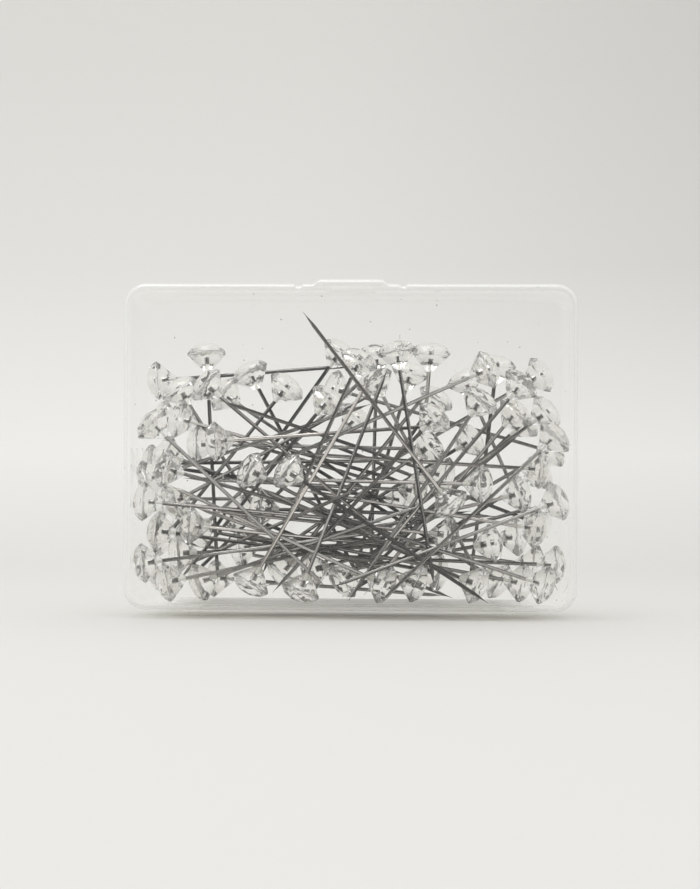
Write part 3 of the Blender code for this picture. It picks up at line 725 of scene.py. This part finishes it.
bm = bmesh.new()
bore_top = WIRE_TOP + BORE_GAP
bore_end = -HEAD_END_DEPTH - 1 * MM
bmesh.ops.create_cone(bm, cap_ends=True, segments=24, radius1=BORE_RADIUS, radius2=BORE_RADIUS,
                      depth=bore_top - bore_end,
                      matrix=Matrix.Translation((0, 0, (bore_top + bore_end) / 2)))
bore_mesh = bpy.data.meshes.new("bore")
bm.to_mesh(bore_mesh)
bm.free()
bore = new_object("bore", bore_mesh)
boolean = gem.modifiers.new("bore", "BOOLEAN")
boolean.solver = "EXACT"
boolean.operation = "DIFFERENCE"
boolean.object = bore
bpy.context.view_layer.update()
gem.data = bpy.data.meshes.new_from_object(gem.evaluated_get(bpy.context.evaluated_depsgraph_get()))
gem.modifiers.clear()
gem.data.polygons.foreach_set("use_smooth", [face.area < FACET_AREA for face in gem.data.polygons])
gem.data.set_sharp_from_angle(angle=math.radians(55))
bpy.data.objects.remove(bore, do_unlink=True)


def geometry_tree(name, inputs):
    """A Geometry Nodes tree with named inputs. Returns the tree, its two end nodes and its sockets."""
    tree = bpy.data.node_groups.new(name, "GeometryNodeTree")
    tree.interface.new_socket("Geometry", in_out="INPUT", socket_type="NodeSocketGeometry")
    tree.interface.new_socket("Geometry", in_out="OUTPUT", socket_type="NodeSocketGeometry")
    sockets = {}
    for label, kind in inputs:
        sockets[label] = tree.interface.new_socket(label, in_out="INPUT", socket_type=kind).identifier
    return tree, tree.nodes.new("NodeGroupInput"), tree.nodes.new("NodeGroupOutput"), sockets


def put_on_pins(tree, start, end, part_socket):
    """The tree's last steps: one part on each point, turned as the pin is, then made real."""
    lean = tree.nodes.new("GeometryNodeInputNamedAttribute")
    lean.data_type = "FLOAT_VECTOR"
    lean.inputs["Name"].default_value = "lean"
    spread = tree.nodes.new("GeometryNodeInstanceOnPoints")
    real = tree.nodes.new("GeometryNodeRealizeInstances")
    paint = tree.nodes.new("GeometryNodeSetMaterial")
    tree.links.new(part_socket, spread.inputs["Instance"])
    join(tree, (start, "Geometry", spread, "Points"), (lean, "Attribute", spread, "Rotation"),
         (spread, "Instances", real, "Geometry"), (real, "Geometry", paint, "Geometry"),
         (start, "Material", paint, "Material"), (paint, "Geometry", end, "Geometry"))


def grown(thing, tree, values):
    """Run a Geometry Nodes tree on an object and keep the result as its plain mesh."""
    modifier = thing.modifiers.new(tree.name, "NODES")
    modifier.node_group = tree
    for identifier, value in values.items():
        modifier[identifier] = value
    bpy.context.view_layer.update()
    ready = thing.evaluated_get(bpy.context.evaluated_depsgraph_get())
    mesh = bpy.data.meshes.new_from_object(ready)
    thing.modifiers.clear()
    thing.data = mesh
    mesh.name = thing.name
    return thing


head_tree, head_in, head_out, head_sockets = geometry_tree(
    "pin_heads", (("Head", "NodeSocketObject"), ("Material", "NodeSocketMaterial")))
head_part = head_tree.nodes.new("GeometryNodeObjectInfo")
join(head_tree, (head_in, "Head", head_part, "Object"))
put_on_pins(head_tree, head_in, head_out, head_part.outputs["Geometry"])

HEAD_COLOUR = (0.965, 0.957, 0.935)
HEAD_SHADOW = (0.91, 0.91, 0.90)
ACRYLIC_IOR = 1.49
head_acrylic = bpy.data.materials.new("clear_acrylic")
head_acrylic.use_nodes = True
acrylic_tree = head_acrylic.node_tree
acrylic = acrylic_tree.nodes["Principled BSDF"]
acrylic.inputs["Base Color"].default_value = (*HEAD_COLOUR, 1)
acrylic.inputs["Transmission Weight"].default_value = 0.97
acrylic.inputs["IOR"].default_value = ACRYLIC_IOR
head_path = acrylic_tree.nodes.new("ShaderNodeLightPath")
lit_through = acrylic_tree.nodes.new("ShaderNodeBsdfTransparent")
lit_through.inputs["Color"].default_value = (*HEAD_SHADOW, 1)
head_shaded = acrylic_tree.nodes.new("ShaderNodeMixShader")
acrylic_end = acrylic_tree.nodes["Material Output"]
join(acrylic_tree, (head_path, "Is Shadow Ray", head_shaded, "Fac"), (acrylic, "BSDF", head_shaded, 1),
     (lit_through, "BSDF", head_shaded, 2), (head_shaded, "Shader", acrylic_end, "Surface"))
head_place = acrylic_tree.nodes.new("ShaderNodeTexCoord")
head_marks = acrylic_tree.nodes.new("ShaderNodeGroup")
head_marks.node_tree = marks
head_marks.inputs["Scuff Scale"].default_value = 500
head_gloss = acrylic_tree.nodes.new("ShaderNodeMapRange")
head_gloss.inputs["To Min"].default_value = 0.02
head_gloss.inputs["To Max"].default_value = 0.07
ripple = acrylic_tree.nodes.new("ShaderNodeBump")
ripple.inputs["Strength"].default_value = 0.06
ripple.inputs["Distance"].default_value = 0.0006
join(acrylic_tree, (head_place, "Object", head_marks, "Vector"),
     (head_marks, "Scuffs", head_gloss, "Value"), (head_gloss, "Result", acrylic, "Roughness"),
     (head_marks, "Scuffs", ripple, "Height"), (ripple, "Normal", acrylic, "Normal"))
head_groups = (("pin_heads", 0, len(packed)), ("front_pin_heads", len(packed), len(ends)))
for name, first, last in head_groups:
    heads = grown(pin_points(name, first, last), head_tree,
                  {head_sockets["Head"]: gem, head_sockets["Material"]: head_acrylic})
    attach(heads, "base")
    if first == 0:
        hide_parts(*head_names)
bpy.data.objects.remove(gem, do_unlink=True)

# The shanks are bright drawn steel wire, nickel plated, with fine lines along them and a ground point.
# Inside the neck of its head a pale, not metallic column is painted round the wire: painted light, where
# the head focuses the lamp's light onto the wire.
wire_tree, wire_in, wire_out, wire_sockets = geometry_tree(
    "pin_wires", (("Wire Radius", "NodeSocketFloat"), ("Wire Top", "NodeSocketFloat"),
                  ("Wire Tip", "NodeSocketFloat"), ("Point Length", "NodeSocketFloat"),
                  ("Material", "NodeSocketMaterial")))
top_point = wire_tree.nodes.new("ShaderNodeCombineXYZ")
tip_point = wire_tree.nodes.new("ShaderNodeCombineXYZ")
line = wire_tree.nodes.new("GeometryNodeCurvePrimitiveLine")
fine = wire_tree.nodes.new("GeometryNodeResampleCurve")
fine.inputs["Count"].default_value = 60
spot = wire_tree.nodes.new("GeometryNodeInputPosition")
height = wire_tree.nodes.new("ShaderNodeSeparateXYZ")
point_top = wire_tree.nodes.new("ShaderNodeMath")
point_top.operation = "ADD"
taper = wire_tree.nodes.new("ShaderNodeMapRange")
taper.interpolation_type = "SMOOTHERSTEP"
taper.inputs["To Min"].default_value = 0.1
taper.inputs["To Max"].default_value = 1
wire_size = wire_tree.nodes.new("ShaderNodeMath")
wire_size.operation = "MULTIPLY"
sized = wire_tree.nodes.new("GeometryNodeSetCurveRadius")
section = wire_tree.nodes.new("GeometryNodeCurvePrimitiveCircle")
section.inputs["Resolution"].default_value = 14
section.inputs["Radius"].default_value = 1
skin = wire_tree.nodes.new("GeometryNodeCurveToMesh")
skin.inputs["Fill Caps"].default_value = True
join(wire_tree, (wire_in, "Wire Top", top_point, "Z"), (wire_in, "Wire Tip", tip_point, "Z"),
     (tip_point, "Vector", line, "Start"), (top_point, "Vector", line, "End"),
     (line, "Curve", fine, "Curve"), (spot, "Position", height, "Vector"),
     (wire_in, "Wire Tip", point_top, 0), (wire_in, "Point Length", point_top, 1),
     (height, "Z", taper, "Value"), (wire_in, "Wire Tip", taper, "From Min"),
     (point_top, "Value", taper, "From Max"), (taper, "Result", wire_size, 0),
     (wire_in, "Wire Radius", wire_size, 1), (fine, "Curve", sized, "Curve"),
     (wire_size, "Value", sized, "Radius"), (sized, "Curve", skin, "Curve"),
     (section, "Curve", skin, "Profile Curve"), (wire_size, "Value", skin, "Scale"))
marked = wire_tree.nodes.new("GeometryNodeStoreNamedAttribute")
marked.data_type = "FLOAT_VECTOR"
marked.inputs["Name"].default_value = "wire_place"
join(wire_tree, (skin, "Mesh", marked, "Geometry"), (spot, "Position", marked, "Value"))
put_on_pins(wire_tree, wire_in, wire_out, marked.outputs["Geometry"])

# Painted light: the pale column in the neck stands for light that the head focuses onto the wire.
NECK_LIGHT_TOP = -1.65 * MM
NECK_LIGHT_COLOUR = (0.90, 0.90, 0.88)
pin_steel = bpy.data.materials.new("nickel_plated_wire")
pin_steel.use_nodes = True
steel_tree = pin_steel.node_tree
steel = steel_tree.nodes["Principled BSDF"]
wire_tone = steel_tree.nodes.new("ShaderNodeAttribute")
wire_tone.attribute_name = "tone"
hue = steel_tree.nodes.new("ShaderNodeValToRGB")
hue.color_ramp.elements[0].color = (0.24, 0.24, 0.23, 1)
hue.color_ramp.elements[1].color = (0.90, 0.84, 0.785, 1)
for share, colour in ((0.45, (0.46, 0.45, 0.43)), (0.8, (0.70, 0.67, 0.635))):
    plain = hue.color_ramp.elements.new(share)
    plain.color = (*colour, 1)
wire_place = steel_tree.nodes.new("ShaderNodeAttribute")
wire_place.attribute_name = "wire_place"
drawn = steel_tree.nodes.new("ShaderNodeMapping")
drawn.inputs["Scale"].default_value = (1, 1, 0.012)
lines = steel_tree.nodes.new("ShaderNodeTexNoise")
lines.noise_dimensions = "4D"
lines.inputs["Scale"].default_value = 1700
lines.inputs["Detail"].default_value = 3
own = steel_tree.nodes.new("ShaderNodeMath")
own.operation = "MULTIPLY"
own.inputs[1].default_value = 37
grooves = steel_tree.nodes.new("ShaderNodeMapRange")
grooves.inputs["From Min"].default_value = 0.43
grooves.inputs["From Max"].default_value = 0.57
grooves.inputs["To Min"].default_value = 0.16
grooves.inputs["To Max"].default_value = 1
steel_grooved = steel_tree.nodes.new("ShaderNodeMix")
steel_grooved.data_type = "RGBA"
steel_grooved.blend_type = "MULTIPLY"
steel_grooved.inputs["Factor"].default_value = 1
groove_bump = steel_tree.nodes.new("ShaderNodeBump")
groove_bump.inputs["Strength"].default_value = 0.35
groove_bump.inputs["Distance"].default_value = 0.00006
dull = steel_tree.nodes.new("ShaderNodeMapRange")
dull.inputs["To Min"].default_value = 0.18
dull.inputs["To Max"].default_value = 0.06
join(steel_tree, (wire_tone, "Fac", hue, "Fac"), (wire_place, "Vector", drawn, "Vector"),
     (drawn, "Vector", lines, "Vector"), (wire_tone, "Fac", own, 0), (own, "Value", lines, "W"),
     (lines, "Fac", grooves, "Value"), (hue, "Color", steel_grooved, "A"),
     (grooves, "Result", steel_grooved, "B"))
wire_height = steel_tree.nodes.new("ShaderNodeSeparateXYZ")
neck_light_start = steel_tree.nodes.new("ShaderNodeMapRange")
neck_light_start.inputs["From Min"].default_value = -HEAD_END_DEPTH
neck_light_start.inputs["From Max"].default_value = -HEAD_END_DEPTH + 0.1 * MM
neck_light_end = steel_tree.nodes.new("ShaderNodeMapRange")
neck_light_end.inputs["From Min"].default_value = NECK_LIGHT_TOP
neck_light_end.inputs["From Max"].default_value = NECK_LIGHT_TOP - 0.3 * MM
neck_lit = steel_tree.nodes.new("ShaderNodeMath")
neck_lit.operation = "MULTIPLY"
steel_shown = steel_tree.nodes.new("ShaderNodeMath")
steel_shown.operation = "SUBTRACT"
steel_shown.inputs[0].default_value = 1
dark_end = steel_tree.nodes.new("ShaderNodeMapRange")
dark_end.inputs["From Min"].default_value = NECK_LIGHT_TOP - 0.3 * MM
dark_end.inputs["From Max"].default_value = NECK_LIGHT_TOP
dark_end.inputs["To Min"].default_value = 1
dark_end.inputs["To Max"].default_value = 0.35
cut_end = steel_tree.nodes.new("ShaderNodeMix")
cut_end.data_type = "RGBA"
cut_end.blend_type = "MULTIPLY"
cut_end.inputs["Factor"].default_value = 1
neck_lit_colour = steel_tree.nodes.new("ShaderNodeMix")
neck_lit_colour.data_type = "RGBA"
neck_lit_colour.inputs["B"].default_value = (*NECK_LIGHT_COLOUR, 1)
join(steel_tree, (wire_place, "Vector", wire_height, "Vector"), (wire_height, "Z", neck_light_start, "Value"),
     (wire_height, "Z", neck_light_end, "Value"), (neck_light_start, "Result", neck_lit, 0),
     (neck_light_end, "Result", neck_lit, 1), (neck_lit, "Value", steel_shown, 1), (steel_shown, "Value", steel, "Metallic"),
     (wire_height, "Z", dark_end, "Value"), (steel_grooved, "Result", cut_end, "A"),
     (dark_end, "Result", cut_end, "B"), (cut_end, "Result", neck_lit_colour, "A"),
     (neck_lit, "Value", neck_lit_colour, "Factor"), (neck_lit_colour, "Result", steel, "Base Color"),
     (lines, "Fac", dull, "Value"), (dull, "Result", steel, "Roughness"),
     (lines, "Fac", groove_bump, "Height"), (groove_bump, "Normal", steel, "Normal"))
shank_groups = (("pin_shanks", 0, len(packed)), ("front_pin_shanks", len(packed), len(ends)))
for name, first, last in shank_groups:
    shanks = grown(pin_points(name, first, last), wire_tree,
                   {wire_sockets["Wire Radius"]: WIRE_RADIUS,
                    wire_sockets["Wire Top"]: WIRE_TOP,
                    wire_sockets["Wire Tip"]: TABLE_HEIGHT - PIN_LENGTH,
                    wire_sockets["Point Length"]: POINT_LENGTH,
                    wire_sockets["Material"]: pin_steel})
    shanks.data.shade_smooth()
    shanks.data.set_sharp_from_angle(angle=math.radians(50))
    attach(shanks, "base")
    if first == 0:
        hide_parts(*shank_names)

# The case stands on a pale paper sweep, a flat table that curves up behind it. The paper is painted a
# little darker to the right and higher up, as painted shade where less light falls on it, and lighter
# where the table turns up, as painted light.
SWEEP_HALF = 1.2
SWEEP_FRONT = -0.7
SWEEP_BACK = 0.45
SWEEP_RADIUS = 0.25
SWEEP_TOP = 0.6
profile = [(SWEEP_FRONT, 0.0), (SWEEP_BACK - SWEEP_RADIUS, 0.0)]
for step in range(1, 17):
    turn = math.radians(90 * step / 16)
    profile.append((SWEEP_BACK - SWEEP_RADIUS + SWEEP_RADIUS * math.sin(turn),
                    SWEEP_RADIUS * (1 - math.cos(turn))))
profile.append((SWEEP_BACK, SWEEP_TOP))
bm = bmesh.new()
rows = [[bm.verts.new((x, y, z)) for x in (-SWEEP_HALF, SWEEP_HALF)] for y, z in profile]
for lower, upper in zip(rows, rows[1:]):
    bm.faces.new((lower[0], lower[1], upper[1], upper[0]))
sweep_mesh = bpy.data.meshes.new("paper_sweep")
bm.to_mesh(sweep_mesh)
bm.free()
sweep_mesh.shade_smooth()
paper_sweep = new_object("paper_sweep", sweep_mesh)
paper = bpy.data.materials.new("pale_paper")
paper.use_nodes = True
paper_tree = paper.node_tree
paper_shader = paper_tree.nodes["Principled BSDF"]
paper_shader.inputs["Roughness"].default_value = 0.9
paper_shader.inputs["Specular IOR Level"].default_value = 0.1
paper_place = paper_tree.nodes.new("ShaderNodeTexCoord")
paper_axes = paper_tree.nodes.new("ShaderNodeSeparateXYZ")
# Painted light and shade: lighter where the table turns up, darker higher up.
rise = paper_tree.nodes.new("ShaderNodeMapRange")
rise.inputs["From Min"].default_value = 0.0
rise.inputs["From Max"].default_value = 0.26
fade = paper_tree.nodes.new("ShaderNodeValToRGB")
fade.color_ramp.elements[0].color = (0.748, 0.738, 0.71, 1)
fade.color_ramp.elements[1].color = (0.752, 0.742, 0.712, 1)
for share, colour in ((0.16, (0.835, 0.825, 0.80)), (0.5, (0.763, 0.753, 0.724))):
    tint = fade.color_ramp.elements.new(share)
    tint.color = (*colour, 1)
# Painted shade: darker to the right, the more so higher up.
away = paper_tree.nodes.new("ShaderNodeMapRange")
away.interpolation_type = "SMOOTHSTEP"
away.inputs["From Min"].default_value = -0.06
away.inputs["From Max"].default_value = 0.18
away.inputs["To Min"].default_value = 1
away.inputs["To Max"].default_value = 0.90
paper_dimmed = paper_tree.nodes.new("ShaderNodeMix")
paper_dimmed.data_type = "RGBA"
paper_dimmed.blend_type = "MULTIPLY"
aloft = paper_tree.nodes.new("ShaderNodeMapRange")
aloft.inputs["From Min"].default_value = 0.04
aloft.inputs["From Max"].default_value = 0.13
aloft.inputs["To Min"].default_value = 0.3
aloft.inputs["To Max"].default_value = 1
join(paper_tree, (paper_place, "Object", paper_axes, "Vector"), (paper_axes, "Z", aloft, "Value"),
     (aloft, "Result", paper_dimmed, "Factor"), (paper_axes, "Z", rise, "Value"),
     (rise, "Result", fade, "Fac"), (paper_axes, "X", away, "Value"),
     (fade, "Color", paper_dimmed, "A"), (away, "Result", paper_dimmed, "B"),
     (paper_dimmed, "Result", paper_shader, "Base Color"))
sweep_mesh.materials.append(paper)

# Soft light: a wide lamp above and a little in front of the case, and a pale room that is dimmer
# behind the camera.
lamp_data = bpy.data.lights.new("wide_lamp", "AREA")
lamp_data.shape = "RECTANGLE"
lamp_data.size = 0.6
lamp_data.size_y = 0.5
lamp_data.energy = 2.7
lamp_data.color = (1.0, 0.985, 0.96)
lamp = bpy.data.objects.new("wide_lamp", lamp_data)
lamp.location = (-0.14, -0.2, 0.85)
lamp.rotation_euler = (Vector((0, 0, 0.03)) - lamp.location).to_track_quat("-Z", "Y").to_euler()
bpy.context.scene.collection.objects.link(lamp)
world = bpy.data.worlds.new("pale_room")
world.use_nodes = True
room_light = world.node_tree.nodes["Background"]
room_light.inputs["Color"].default_value = (0.97, 0.985, 1.0, 1)
facing = world.node_tree.nodes.new("ShaderNodeTexCoord")
room_axes = world.node_tree.nodes.new("ShaderNodeSeparateXYZ")
dimmer = world.node_tree.nodes.new("ShaderNodeMapRange")
dimmer.interpolation_type = "SMOOTHSTEP"
dimmer.inputs["From Min"].default_value = -0.98
dimmer.inputs["From Max"].default_value = -0.40
dimmer.inputs["To Min"].default_value = 0.66
dimmer.inputs["To Max"].default_value = 0.88
join(world.node_tree, (facing, "Generated", room_axes, "Vector"), (room_axes, "Y", dimmer, "Value"),
     (dimmer, "Result", room_light, "Strength"))
bpy.context.scene.world = world

# The camera looks at the lid from a third of a metre, a little right of the middle, and is turned
# a little to the left.
camera_data = bpy.data.cameras.new("camera")
camera_data.lens = 67.0
camera_data.sensor_width = 36
camera_data.shift_y = 0.0570
camera_data.clip_start = 0.01
camera = bpy.data.objects.new("camera", camera_data)
camera.location = (0.0098, -0.335, 0.0246)
camera.rotation_euler = (math.radians(90), math.radians(-0.3), math.radians(1.715))
bpy.context.scene.collection.objects.link(camera)
bpy.context.scene.camera = camera
bpy.context.scene.view_settings.view_transform = "Standard"
bpy.context.scene.cycles.transmission_bounces = 24
bpy.context.scene.cycles.max_bounces = 28
bpy.context.scene.cycles.transparent_max_bounces = 24
